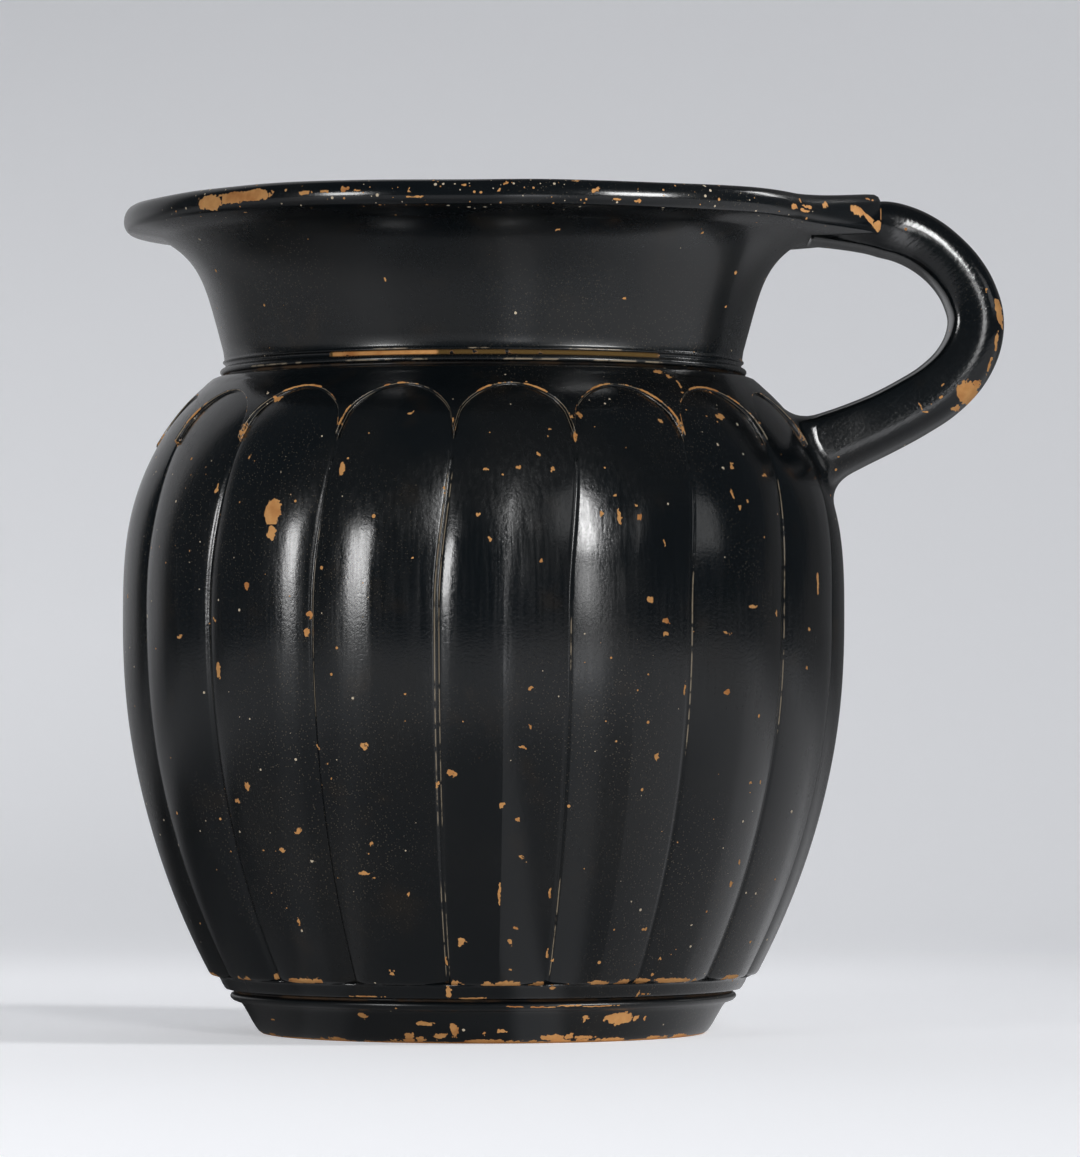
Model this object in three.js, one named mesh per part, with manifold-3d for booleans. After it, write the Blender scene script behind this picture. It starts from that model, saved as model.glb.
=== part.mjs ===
import * as THREE from 'three';
import { mergeVertices } from 'three/addons/utils/BufferGeometryUtils.js';
import Module from 'manifold-3d';

// Ribbed black-gloss mug-shaped oinochoe: foot, ribbed body, flaring neck and strap handle,
// thrown, turned and pulled apart from each other and luted together with slip.
// Millimetres, +Z up, resting on Z = 0, handle towards +X.

const wasm = await Module();
wasm.setup();

// Heights above the surface that it stands on
const footHeight = 5.5;
const bellyHeight = 55.5;
const shoulderHeight = 87.2;
const lipHeight = 110;

// Outer radii
const footRestRadius = 29.4;
const footBaseRadius = 30.3;
const footTopRadius = 33.9;
const ribFootRadius = 36.5;
const bellyRadius = 48.4;
const shoulderRadius = 35.9;
const neckRidgeRadius = 35.2;
const neckRadius = 34.4;
const lipInset = 0.3;

// Walls and the layers of slip between the parts
const bodyWall = 3.6;
const floorThickness = 4.6;
const neckWall = 3.3;
const footRingWidth = 5.2;
const slipThickness = 0.4;
const handleSlipThickness = 0.8;
const seatGap = 0.3;

// Belly curves: powers of the lower and the upper swell
const lowerSwell = 2.15;
const upperSwell = 2.8;

// Ribs: angles in degrees, the sink is how far their heads lie under the shoulder's curve
const ribCount = 17;
const ribPhase = -7.2;
const ribUnevenness = 1;
const ribLean = 2.2;
const ribDepth = 0.95;
const ribHeadDepth = 0.2;
const ribHeadSink = 0.45;
const ribSinkLength = 13;
const archRise = 5.7;
const archStep = 0.3;
const shoulderBand = 2.5;

// Turned band under the ribs
const bandHeight = 1.9;
const bandSlope = 0.7;
const bandStep = 1.4;
const bandFillet = 0.4;

// Foot ring details
const footEdgeHeight = 0.8;
const footMouldingHeight = 1.1;
const footMouldingStep = 1.4;
const footMouldingEdge = 0.4;
const footSlipInset = 0.5;

// Neck and lip details
const neckRidgeWidth = 1.7;
const neckRidgeStep = 0.35;
const neckSlipInset = 0.3;
const neckTaper = 4.6;
const neckFlarePower = 6;
const mouthFlarePower = 4;
const lipRollWidth = 4;
const lipRollHeight = 3.5;
const lipRollRise = 0.2;

// Handle: its centre line runs out from the lip, down, and in to the shoulder. The bend's share
// is its height between the root and the top.
const handleReach = 69.7;
const handleThickness = 7.4;
const handleWidth = 12;
const handleBendShare = 0.584;
const handleTopRise = 0.7;
const handleTopWidth = 19;
const handleTopThickness = 5.6;
const handleTipThickness = 4.6;
const handleRootDrop = 10.6;
const handleRootWidth = 16;
const handleRootThickness = 12.6;
const handleBury = 2;

// Facets
const turnSegments = 64;
const ribColumns = [-1, -0.93, -0.75, -0.4, 0, 0.4, 0.75, 0.93];
const ribPlainRows = 9;
const archRows = [0.4, 0.75, 1];
const archRowReach = 3.5;
const cavityRows = 8;
const neckRows = [0, 0.25, 0.5, 0.7, 0.85, 0.95];
const mouthRows = [0.92, 0.75, 0.5, 0.25];
const lipRollStart = -60;
const lipRollEnd = 150;
const lipRollSteps = 7;
const handleRings = 22;
const handleSides = 16;

const degree = Math.PI / 180;
const ribPitch = 360 / ribCount;
const bodyBottom = footHeight + slipThickness;
const ribFootHeight = bodyBottom + bandHeight;
const archSpringHeight = shoulderHeight - shoulderBand - archRise;
const neckBottom = shoulderHeight + slipThickness;
const neckRidgeHeight = neckBottom + neckRidgeWidth;
const lipUnderside = lipHeight - lipRollHeight;
const lipRadius = bellyRadius - lipInset;
const neckFlare = lipRadius - lipRollWidth - neckRadius - neckTaper;
const mouthRadius = neckRadius - neckWall;
const footInnerRadius = footRestRadius - footRingWidth;

const glossBlack = { color: 0x16161a, roughness: 0.22, metalness: 0 };
const clayBrown = { color: 0x7a4a2c, roughness: 0.8, metalness: 0 };

function between(low, high, share) {
  return THREE.MathUtils.lerp(low, high, share);
}

function smoothRise(low, high, value) {
  return THREE.MathUtils.smoothstep(value, low, high);
}

// Turned shape: profile points are [radius, height], rotated so that height runs along +Z
function turned(profile, segments = turnSegments) {
  const points = profile.map(([radius, height]) => new THREE.Vector2(radius, height));
  const geometry = new THREE.LatheGeometry(points, segments);
  geometry.rotateX(Math.PI / 2);
  return geometry;
}

function merged(geometry) {
  const bare = geometry.clone();
  bare.deleteAttribute('normal');
  bare.deleteAttribute('uv');
  return mergeVertices(bare, 1e-4);
}

function solid(geometry) {
  const closed = merged(geometry);
  const vertProperties = new Float32Array(closed.attributes.position.array);
  const triVerts = new Uint32Array(closed.index.array);
  return new wasm.Manifold(new wasm.Mesh({ numProp: 3, vertProperties, triVerts }));
}

function geometryOf(shape) {
  const mesh = shape.getMesh();
  const geometry = new THREE.BufferGeometry();
  geometry.setAttribute('position', new THREE.BufferAttribute(mesh.vertProperties, 3));
  geometry.setIndex(new THREE.BufferAttribute(mesh.triVerts, 1));
  geometry.computeVertexNormals();
  return geometry;
}

function piece(name, geometry, look) {
  const mesh = new THREE.Mesh(geometry, new THREE.MeshStandardMaterial(look));
  mesh.name = name;
  return mesh;
}

// Outer radius of the belly and shoulder before the ribs are cut
function bellyRadiusAt(height) {
  if (height < bellyHeight) {
    const below = (bellyHeight - height) / (bellyHeight - ribFootHeight);
    return bellyRadius - (bellyRadius - ribFootRadius) * below ** lowerSwell;
  }
  const above = (height - bellyHeight) / (shoulderHeight - bellyHeight);
  const closing = 1 - (shoulderRadius / bellyRadius) ** 2;
  return bellyRadius * Math.sqrt(1 - closing * above ** upperSwell);
}

// How far the surface of a rib lies under the uncut belly; across runs from -1 to 1 over a rib
function ribCutAt(across, height) {
  const sink = ribHeadSink * smoothRise(archSpringHeight - ribSinkLength, archSpringHeight, height);
  const inArch = Math.max(0, (height - archSpringHeight) / archRise);
  return sink + ribDepth * across ** 2 + ribHeadDepth * inArch ** 2;
}

// Angle about the axis, from the front towards the handle, of a place counted in ribs
function ribAngle(ribs, height) {
  const even = ribPhase + ribPitch * ribs;
  const uneven = ribUnevenness * Math.sin(2 * ribPitch * ribs * degree);
  return even - uneven + ribLean * smoothRise(bellyHeight, archSpringHeight, height);
}

// Height of the arched head of a rib
function archAt(across) {
  return archSpringHeight + archRise * Math.sqrt(Math.max(0, 1 - across ** 2));
}

// Rows up a rib: plain rows, rows that follow its arched head, and the plain shoulder above
function ribRows() {
  const rows = [];
  const plainTop = archSpringHeight - archRowReach;
  for (let row = 0; row <= ribPlainRows; row += 1) {
    const height = between(ribFootHeight, plainTop, row / ribPlainRows);
    rows.push(() => ({ height, cut: true }));
  }
  for (const share of archRows) {
    rows.push((across) => ({ height: between(plainTop, archAt(across), share), cut: true }));
  }
  for (const share of [0, 0.5, 1]) {
    rows.push((across) => ({
      height: between(archAt(across) + archStep, shoulderHeight, share),
      cut: false,
    }));
  }
  return rows;
}

// The ribbed outside of the body, as a closed solid: a turned blank whose rows and columns
// are moved on to the ribs
function ribbedBlank(growth) {
  const rows = ribRows();
  const bandRadius = ribFootRadius - bandStep + growth;
  const band = [
    [bandRadius - bandSlope, bodyBottom],
    [bandRadius, ribFootHeight - bandFillet],
  ];
  const profile = [
    [0, bodyBottom],
    ...band,
    ...rows.map((row, index) => [bellyRadius, ribFootHeight + index]),
    [0, shoulderHeight],
  ];
  const segments = ribCount * ribColumns.length;
  const blank = turned(profile, segments);
  const position = blank.attributes.position;
  for (let column = 0; column <= segments; column += 1) {
    const turn = column % segments;
    const across = ribColumns[turn % ribColumns.length];
    const ribs = Math.floor(turn / ribColumns.length) + (across + 1) / 2;
    const place = (index, radius, height) => {
      const angle = ribAngle(ribs, height) * degree;
      const vertex = column * profile.length + index;
      position.setXYZ(vertex, radius * Math.sin(angle), -radius * Math.cos(angle), height);
    };
    band.forEach(([radius, height], index) => place(1 + index, radius, height));
    rows.forEach((row, index) => {
      const { height, cut } = row(across);
      const radius = bellyRadiusAt(height) - (cut ? ribCutAt(across, height) : 0) + growth;
      place(1 + band.length + index, radius, height);
    });
  }
  return solid(blank);
}

function bodyCavity() {
  const floor = bodyBottom + floorThickness;
  const wall = bodyWall + ribHeadSink;
  const profile = [[0, floor], [bellyRadiusAt(floor) - 2 * wall, floor]];
  for (let row = 1; row < cavityRows; row += 1) {
    const height = between(floor + wall / 2, shoulderHeight, row / cavityRows);
    profile.push([bellyRadiusAt(height) - wall, height]);
  }
  const above = shoulderHeight + 1;
  profile.push([mouthRadius, shoulderHeight], [mouthRadius, above], [0, above]);
  return solid(turned(profile));
}

// Outside of the neck, from its ridge up to the underside of the lip
function neckRadiusAt(share) {
  return neckRadius + neckTaper * share + neckFlare * share ** neckFlarePower;
}

function neckOutline(growth) {
  const outline = [
    [neckRidgeRadius - neckRidgeStep + growth, neckBottom],
    [neckRidgeRadius + growth, neckBottom + neckRidgeStep],
    [neckRidgeRadius + growth, neckRidgeHeight - neckRidgeStep],
  ];
  for (const share of neckRows) {
    outline.push([neckRadiusAt(share) + growth, between(neckRidgeHeight, lipUnderside, share)]);
  }
  const rollRadius = lipRadius - lipRollWidth / 2;
  const rollHeight = lipHeight - lipRollHeight / 2 - lipRollRise;
  for (let step = 0; step <= lipRollSteps; step += 1) {
    const turn = between(lipRollStart, lipRollEnd, step / lipRollSteps) * degree;
    const half = lipRollHeight / 2 + (turn < 0 ? -lipRollRise : lipRollRise);
    outline.push([
      rollRadius + (lipRollWidth / 2 + growth) * Math.cos(turn),
      rollHeight + (half + growth) * Math.sin(turn),
    ]);
  }
  return outline;
}

function makeNeck() {
  const inside = mouthRows.map((share) => [
    mouthRadius + neckTaper * share + neckFlare * share ** mouthFlarePower,
    between(neckRidgeHeight, lipUnderside, share),
  ]);
  const profile = [
    ...neckOutline(0),
    ...inside,
    [mouthRadius, neckRidgeHeight],
    [mouthRadius, neckBottom],
  ];
  profile.push(profile[0]);
  return turned(profile);
}

// Flat ring of slip between two seats
function slipRing(innerRadius, outerRadius, low, high) {
  return turned([
    [innerRadius, low],
    [outerRadius, low],
    [outerRadius, high],
    [innerRadius, high],
    [innerRadius, low],
  ]);
}

function makeFoot() {
  const mouldingLow = footHeight - footMouldingHeight;
  const profile = [
    [footInnerRadius, 0],
    [footRestRadius, 0],
    [footBaseRadius, footEdgeHeight],
    [footTopRadius - footMouldingStep, mouldingLow],
    [footTopRadius - footMouldingEdge, mouldingLow + footMouldingEdge],
    [footTopRadius, footHeight - footMouldingEdge],
    [footTopRadius - footMouldingEdge / 2, footHeight],
    [footInnerRadius - 1, footHeight],
    [footInnerRadius, 0],
  ];
  return turned(profile);
}

// Handle stations: [distance from the axis, height, thickness, width] along the strap
function handleStations() {
  const bend = handleReach - handleThickness / 2;
  const topHeight = lipHeight - lipRollHeight / 2 + handleTopRise;
  const rootHeight = shoulderHeight - handleRootDrop;
  const bendHeight = between(rootHeight, topHeight, handleBendShare);
  const rootRadius = bellyRadiusAt(rootHeight);
  const span = bend - lipRadius;
  const drop = topHeight - bendHeight;
  const fall = bendHeight - rootHeight;
  const lowerThickness = handleThickness + 0.6;
  return [
    [lipRadius - lipRollWidth / 2 - handleBury, topHeight, handleTipThickness, handleTopWidth],
    [lipRadius + span * 0.1, topHeight, between(handleTopThickness, handleThickness, 0.35),
      between(handleTopWidth, handleWidth, 0.5)],
    [lipRadius + span * 0.42, topHeight - drop * 0.11, handleThickness, handleWidth + 0.6],
    [lipRadius + span * 0.84, topHeight - drop * 0.48, handleThickness, handleWidth],
    [bend, bendHeight, handleThickness, handleWidth],
    [bend - span * 0.08, bendHeight - fall * 0.32, lowerThickness, handleWidth],
    [bend - span * 0.48, bendHeight - fall * 0.67, lowerThickness, handleWidth + 0.5],
    [between(rootRadius, bend, 0.28), bendHeight - fall * 0.85,
      between(lowerThickness, handleRootThickness, 0.15),
      between(handleWidth, handleRootWidth, 0.35)],
    [rootRadius - handleBury, rootHeight, handleRootThickness, handleRootWidth],
  ];
}

// The strap: a closed round bar bent along the stations, oval in section
function handleBar() {
  const stations = handleStations();
  const path = new THREE.CatmullRomCurve3(stations.map(([out, up]) => new THREE.Vector3(out, 0, up)));
  const girth = new THREE.CatmullRomCurve3(stations.map((s) => new THREE.Vector3(s[2], s[3], 0)));
  const bar = new THREE.CylinderGeometry(1, 1, 1, handleSides, handleRings);
  const position = bar.attributes.position;
  for (let vertex = 0; vertex < position.count; vertex += 1) {
    const along = THREE.MathUtils.clamp(0.5 - position.getY(vertex), 0, 1);
    const centre = path.getPoint(along);
    const tangent = path.getTangent(along);
    const outward = new THREE.Vector3(-tangent.z, 0, tangent.x);
    const { x: thickness, y: width } = girth.getPoint(along);
    const place = centre.addScaledVector(outward, (position.getX(vertex) * thickness) / 2);
    position.setXYZ(vertex, place.x, (-position.getZ(vertex) * width) / 2, place.z);
  }
  return solid(bar);
}

// Neck and lip as one full solid, grown outwards, to cut what seats on them
function neckBlank(growth) {
  const outline = neckOutline(growth);
  return solid(turned([[0, neckBottom], ...outline, [0, lipHeight + growth]]));
}

function makeHandle() {
  const clearance = handleSlipThickness + 2 * seatGap;
  return handleBar().subtract(neckBlank(clearance)).subtract(ribbedBlank(clearance));
}

// Slip under one end of the handle: the shell between two growths of what it seats on
function handleSlip(blank) {
  const inner = blank(seatGap);
  const outer = blank(seatGap + handleSlipThickness);
  return handleBar().intersect(outer).subtract(inner);
}

const neckSlipRadius = neckRidgeRadius - neckRidgeStep - neckSlipInset;
const footSlipRadius = footTopRadius - footSlipInset;
const neckSlip = slipRing(mouthRadius, neckSlipRadius, shoulderHeight, neckBottom);
const footSlip = slipRing(footInnerRadius, footSlipRadius, footHeight, bodyBottom);

const vessel = new THREE.Group();
vessel.add(
  piece('body', geometryOf(ribbedBlank(0).subtract(bodyCavity())), glossBlack),
  piece('neck', makeNeck(), glossBlack),
  piece('foot', makeFoot(), glossBlack),
  piece('handle', geometryOf(makeHandle()), glossBlack),
  piece('neck_luting_slip', neckSlip, clayBrown),
  piece('foot_luting_slip', footSlip, clayBrown),
  piece('handle_top_luting_slip', geometryOf(handleSlip(neckBlank)), clayBrown),
  piece('handle_root_luting_slip', geometryOf(handleSlip(ribbedBlank)), clayBrown),
);

// The axis of the vessel moves back so that vessel and handle are centred on the Z axis
const middle = new THREE.Box3().setFromObject(vessel).getCenter(new THREE.Vector3());
vessel.position.set(-middle.x, -middle.y, 0);

const oinochoe = new THREE.Group();
oinochoe.add(vessel);

export default oinochoe;
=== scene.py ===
import math

import bmesh
import bpy
import numpy
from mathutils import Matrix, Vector, noise


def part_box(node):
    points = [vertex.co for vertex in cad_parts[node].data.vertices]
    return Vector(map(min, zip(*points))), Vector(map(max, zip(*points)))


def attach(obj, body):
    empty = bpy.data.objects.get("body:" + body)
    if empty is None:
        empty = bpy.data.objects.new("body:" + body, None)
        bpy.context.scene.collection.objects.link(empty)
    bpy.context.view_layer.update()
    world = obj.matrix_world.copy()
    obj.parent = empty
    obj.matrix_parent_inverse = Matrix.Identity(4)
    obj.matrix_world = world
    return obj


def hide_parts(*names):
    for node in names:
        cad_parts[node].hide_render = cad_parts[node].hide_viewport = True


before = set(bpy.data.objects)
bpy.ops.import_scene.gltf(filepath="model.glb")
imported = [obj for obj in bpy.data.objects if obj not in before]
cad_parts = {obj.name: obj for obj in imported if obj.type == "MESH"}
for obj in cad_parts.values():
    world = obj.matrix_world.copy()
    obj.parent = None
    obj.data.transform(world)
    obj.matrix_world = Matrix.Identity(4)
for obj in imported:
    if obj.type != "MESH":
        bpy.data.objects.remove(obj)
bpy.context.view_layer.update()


# Ribbed body: thrown and turned red clay, closed in to a shoulder, its wall pressed and tooled
# into seventeen ribs with arched heads. It is covered in black gloss, which has chipped to the
# clay and worn through along the arches and under the ribs.
mm = 0.001
foot_low, foot_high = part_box("foot")
body_low, body_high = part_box("body")
axis = Vector(((foot_low.x + foot_high.x) / 2, (foot_low.y + foot_high.y) / 2, 0))

body_bottom = body_low.z / mm
shoulder_height = body_high.z / mm
belly_height = 55.5
belly_radius = 48.28
rib_foot_radius = 36.5
shoulder_radius = 35.9
lower_swell = 2.15
upper_swell = 2.8
body_wall = 4.05
floor_thickness = 4.6
mouth_radius = 31.1

rib_count = 17
rib_phase = -7.2
rib_unevenness = 1.0
rib_lean = 2.2
rib_depth = 1.25
rib_head_depth = 0.5
rib_edge_share = 0.3
crest_softness = 0.12
valley_groove = 0.09
valley_groove_width = 0.5
rib_foot_height = 7.8
rib_rows = 58
plain_top = 74.5

# Places across a rib, from its left valley at -1, closer together by the valleys
rib_places = (-1, -0.985, -0.965, -0.945, -0.93, -0.91, -0.87, -0.81, -0.72, -0.6, -0.46, -0.31,
              -0.15, -0.05, 0, 0.05, 0.15, 0.31, 0.46, 0.6, 0.72, 0.81, 0.87, 0.91, 0.93, 0.945, 0.965, 0.985)
rib_columns = len(rib_places)

# How round the left and the right flank of a rib are: 2 is round, 1.2 nearly flat. The hand
# that pressed them was uneven. Ribs not named here are round.
flank_roundness = {0: (2.0, 1.06), 1: (1.2, 1.06), 2: (1.35, 1.7), 3: (1.6, 2.0), 6: (1.3, 1.8),
                   9: (2.0, 1.5), 12: (1.4, 2.0), 16: (2.0, 1.3)}

arch_spring = 79.0
arch_rise = 5.7
arch_leg_drop = 0.7
arch_sink = 0.3
arch_head_sink = 0.15
arch_sink_length = 13.0
arch_rows = 12
arch_offsets = (-1.1, -0.7, -0.45, -0.32, -0.22, -0.13, -0.05, 0.04, 0.14, 0.3, 0.7)
arch_edge_width = 0.3
shoulder_rows = 10

hand_wobble = 0.07
hand_wobble_length = 16.0


def smooth_rise(low, high, value):
    """0 below low and 1 above high, with a smooth rise between"""
    share = min(1.0, max(0.0, (value - low) / (high - low)))
    return share * share * (3 - 2 * share)


def between(low, high, share):
    return low + (high - low) * share


def spun_shape(profile, columns):
    """A closed turned shape: (radius, height) points swept once round the Z axis"""
    shape = bmesh.new()
    points = [shape.verts.new((radius, 0, height)) for radius, height in profile]
    for low, high in zip(points, points[1:]):
        shape.edges.new((low, high))
    bmesh.ops.spin(
        shape,
        geom=shape.verts[:] + shape.edges[:],
        axis=(0, 0, 1),
        cent=(0, 0, 0),
        angle=2 * math.pi,
        steps=columns,
        use_merge=True,
    )
    bmesh.ops.remove_doubles(shape, verts=shape.verts[:], dist=1e-5)
    return shape


def blank(rows, columns):
    """A closed barrel of radius 1 whose rows are whole numbers up its axis, to be shaped later"""
    profile = [(0, 0), *((1, row) for row in range(rows)), (0, rows - 1)]
    return spun_shape(profile, columns)


def row_and_turn(vertex):
    """The row number of a vertex of a blank, its turn from 0 to 1, and whether it is a pole"""
    x, y, z = vertex.co
    turn = (math.atan2(y, x) / (2 * math.pi)) % 1
    return round(z), turn, math.hypot(x, y) < 0.5


def placed(radius, degrees, height):
    """A point at a distance from the vessel's axis, an angle from the front, and a height"""
    angle = math.radians(degrees)
    return Vector((
        axis.x + radius * mm * math.sin(angle),
        axis.y - radius * mm * math.cos(angle),
        height * mm,
    ))


def wobble(degrees, height, size=hand_wobble):
    """Small unevenness of a hand-thrown wall, in millimetres"""
    angle = math.radians(degrees)
    reach = belly_radius / hand_wobble_length
    place = Vector((reach * math.sin(angle), reach * math.cos(angle), height / hand_wobble_length))
    return size * noise.noise(place)


def belly_radius_at(height):
    """Outer radius of the body before its ribs are pressed in"""
    if height < belly_height:
        below = (belly_height - height) / (belly_height - rib_foot_height)
        return belly_radius - (belly_radius - rib_foot_radius) * below ** lower_swell
    above = min(1.0, (height - belly_height) / (shoulder_height - belly_height))
    closing = 1 - (shoulder_radius / belly_radius) ** 2
    return belly_radius * math.sqrt(1 - closing * above ** upper_swell)


def arch_at(across):
    """Height of the arched edge over a rib; its legs run down between two ribs"""
    leg = arch_leg_drop * smooth_rise(0.9, 1, abs(across))
    return arch_spring + arch_rise * math.sqrt(max(0, 1 - across * across)) - leg


def arch_stretch(across):
    """How much further apart the rows lie where the arch runs steeply"""
    step = 0.02
    inner = max(0, abs(across) - step)
    slope = (arch_at(inner) - arch_at(inner + step)) / (step * belly_radius * math.pi / rib_count)
    return math.sqrt(1 + min(abs(slope), 3) ** 2)


def rib_cut(across, height, rib=0):
    """How far a rib lies under the plain belly"""
    roundness = flank_roundness.get(rib, (2.0, 2.0))[across > 0]
    soft = (crest_softness * smooth_rise(1.1, 2, roundness)) ** 2
    flank = (across ** 2 + soft) ** (roundness / 2) - soft ** (roundness / 2)
    flank /= (1 + soft) ** (roundness / 2) - soft ** (roundness / 2)
    edge_share = rib_edge_share * smooth_rise(1.2, 2, roundness)
    lobe = (1 - edge_share) * flank + edge_share * across ** 6
    rise = smooth_rise(arch_spring - arch_sink_length, arch_spring, height)
    from_valley = (1 - abs(across)) * belly_radius * math.pi / rib_count
    channel = max(0.0, 1 - (from_valley / valley_groove_width) ** 2)
    head = arch_head_sink * max(0, (height - arch_spring) / arch_rise) ** 2
    depth = between(rib_depth, rib_head_depth, rise)
    return depth * lobe + valley_groove * channel + arch_sink * rise + head


def rib_angle(ribs, height):
    """Angle from the front of a place counted in ribs: they are uneven and lean a little"""
    pitch = 360 / rib_count
    uneven = rib_unevenness * math.sin(math.radians(2 * pitch * ribs))
    lean = rib_lean * smooth_rise(belly_height, arch_spring, height)
    return rib_phase + pitch * ribs - uneven + lean


# Rows of the body from the middle of its underside up the outside and down the inside. Each is
# a function of the place across a rib, which gives (radius, height, worn edge, foot edge).
body_rows = []


def add_ring(radius, height, foot_edge=0.0):
    body_rows.append(lambda across, rib: (radius, height, 0.0, foot_edge))


def add_rib_row(height_at, inside, worn=0.0, foot_edge=0.0, inset=0.0):
    """A row up the ribs; inside is 1 within the arches and 0 above them"""
    def row(across, rib=0):
        height = height_at(across)
        cut = rib_cut(across, height, rib) * inside
        return belly_radius_at(height) - cut - inset, height, worn, foot_edge
    body_rows.append(row)


for radius, height in ((12, 0), (24, 0), (33.8, 0), (34.3, 0.08), (34.5, 0.3), (34.85, 0.9),
                       (35.05, 1.35), (35.15, 1.5), (35.25, 1.62), (35.6, 1.75)):
    add_ring(radius, body_bottom + height)
for height, inset, foot_edge in ((7.74, 0.55, 0.8), (7.86, 0.18, 1.0), (8.08, 0.03, 0.85),
                                 (8.4, 0.0, 0.45)):
    add_rib_row(lambda across, height=height: height, 1, foot_edge=foot_edge, inset=inset)
for step in range(1, rib_rows + 1):
    height = between(8.4, plain_top, step / rib_rows)
    add_rib_row(lambda across, height=height: height, 1)
for step in range(1, arch_rows + 1):
    def head_height(across, share=step / arch_rows):
        top = arch_at(across) + (arch_offsets[0] - 0.4) * arch_stretch(across)
        return between(plain_top, top, share)
    add_rib_row(head_height, 1)
for offset in arch_offsets:
    def edge_height(across, offset=offset):
        return arch_at(across) + offset * arch_stretch(across)
    inside = 1 - smooth_rise(-arch_edge_width, 0.02, offset)
    worn = math.exp(-((offset - 0.02) / 0.16) ** 2)
    add_rib_row(edge_height, inside, worn=worn)
for step in range(1, shoulder_rows + 1):
    def shoulder_row_height(across, share=step / shoulder_rows):
        low = arch_at(across) + arch_offsets[-1] * arch_stretch(across)
        return between(low, shoulder_height - 0.25, share)
    add_rib_row(shoulder_row_height, 0)
add_ring(shoulder_radius - 0.1, shoulder_height - 0.08)
add_ring(shoulder_radius - 0.35, shoulder_height)
add_ring(mouth_radius + 0.2, shoulder_height)
add_ring(mouth_radius, shoulder_height - 0.3)
cavity_rows = 22
cavity_floor = body_bottom + floor_thickness
for step in range(1, cavity_rows):
    height = between(shoulder_height - 1, cavity_floor + 3, step / cavity_rows)
    add_ring(max(mouth_radius, belly_radius_at(height) - body_wall), height)
floor_radius = belly_radius_at(cavity_floor + 3) - body_wall
add_ring(floor_radius - 1.2, cavity_floor + 1.1)
add_ring(floor_radius - 4.5, cavity_floor)
add_ring(12, cavity_floor - 0.15)

body_shape = blank(len(body_rows), rib_count * rib_columns)
worn_layer = body_shape.verts.layers.float.new("worn_edge")
pale_line_and_glint_layer = body_shape.verts.layers.float.new("valley")
reserved_layer = body_shape.verts.layers.float.new("reserved")
crest_layer = body_shape.verts.layers.float.new("crest")

# Stretches of the arches and of the ribs' lower edge, in degrees, where the gloss is worn off
worn_arches = ((-41, -31.5), (-26, -22), (-20, -15.5), (-3.5, 13), (20, 35.5), (36.5, 40),
               (41.5, 54.5), (95, 118), (150, 166), (190, 203), (236, 260), (281, 297))
worn_rib_feet = ((-61, -56.5), (-44.5, -34.5), (-6.5, -4), (-1, 12.5), (17.5, 32), (33.5, 49.5),
                 (60.5, 66), (104, 131), (171, 186), (214, 250), (270, 284))

# Fine pale lines along the valleys, partly wear and partly painted glints on the valleys' edges: the rib on their
# right, their lowest and highest point
wear_and_glint_valleys = ((0, 28, 73), (0, 8, 21), (1, 48, 54.5), (1, 8, 21.5), (2, 37, 61), (3, 40, 73),
                (16, 42, 66), (15, 44, 60), (5, 30, 60), (8, 44, 70), (11, 20, 50), (13, 50, 72))
double_valleys = (0, 3, 8)


def in_stretches(stretches, degrees):
    """1 within any of the stretches, falling to 0 over half a degree outside"""
    turned = [degrees, degrees + 360, degrees - 360]
    return max(
        smooth_rise(start - 0.7, start + 0.3, place) * smooth_rise(-end - 0.7, -end + 0.3, -place)
        for start, end in stretches
        for place in turned
    )


def valley_line(valley, height):
    """How strongly the line along a valley shows at a height"""
    return max(
        smooth_rise(low - 0.8, low + 0.8, height) * smooth_rise(-high - 0.8, -high + 0.8, -height)
        if valley == number else 0
        for number, low, high in wear_and_glint_valleys
    )


for vertex in body_shape.verts:
    row, turn, pole = row_and_turn(vertex)
    if pole:
        height = body_bottom if row == 0 else cavity_floor - 0.15
        vertex.co = placed(0, 0, height)
        continue
    column = round(turn * rib_count * rib_columns) % (rib_count * rib_columns)
    rib, place = divmod(column, rib_columns)
    across = rib_places[place]
    radius, height, worn, foot_edge = body_rows[row](across, rib)
    degrees = rib_angle(rib + (across + 1) / 2, height)
    on_ribs = rib_foot_height - 0.1 < height < shoulder_height - 1
    vertex.co = placed(radius + (wobble(degrees, height) - hand_wobble if on_ribs else 0), degrees, height)
    arch_wear = worn * between(0.55, 1, in_stretches(worn_arches, degrees))
    cusp_edge = 1 - 0.07 * smooth_rise(75.6, 81.5, height)
    at_cusp = smooth_rise(cusp_edge - 0.012, cusp_edge + 0.012, abs(across))
    at_cusp *= smooth_rise(75.8, 76.6, height) * smooth_rise(-81.8, -80.2, -height)
    arch_wear = max(arch_wear, 0.54 * at_cusp)
    foot_wear = foot_edge * between(0.25, 1, in_stretches(worn_rib_feet, degrees))
    vertex[worn_layer] = max(arch_wear, foot_wear)
    in_rib = 1 if 9 < height < arch_at(across) - 0.4 else 0
    keeled = rib in (0, 1) and across == 0
    vertex[crest_layer] = in_rib if keeled else 0
    # A pale line just inside a valley's edge: partly wear, partly a painted glint on that edge
    valley_lip = math.exp(-((abs(across) - 0.965) / 0.007) ** 2)
    valley = rib if across < 0 else (rib + 1) % rib_count
    if across > 0 and valley not in double_valleys:
        valley_lip = 0
    # Pale lines on and just under the arch edge: partly wear, partly painted highlights on the small ledges there
    over_arch = (height - arch_at(across)) / arch_stretch(across)
    ledge_line = math.exp(-((over_arch + 0.05) / 0.05) ** 2)
    inner_line = math.exp(-((over_arch + 0.32) / 0.05) ** 2) * smooth_rise(0.3, 0.6, abs(across))
    vertex[pale_line_and_glint_layer] = max(
        in_rib * valley_lip * valley_line(valley, height),
        max(ledge_line, 0.8 * inner_line) if on_ribs else 0,
    )

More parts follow.
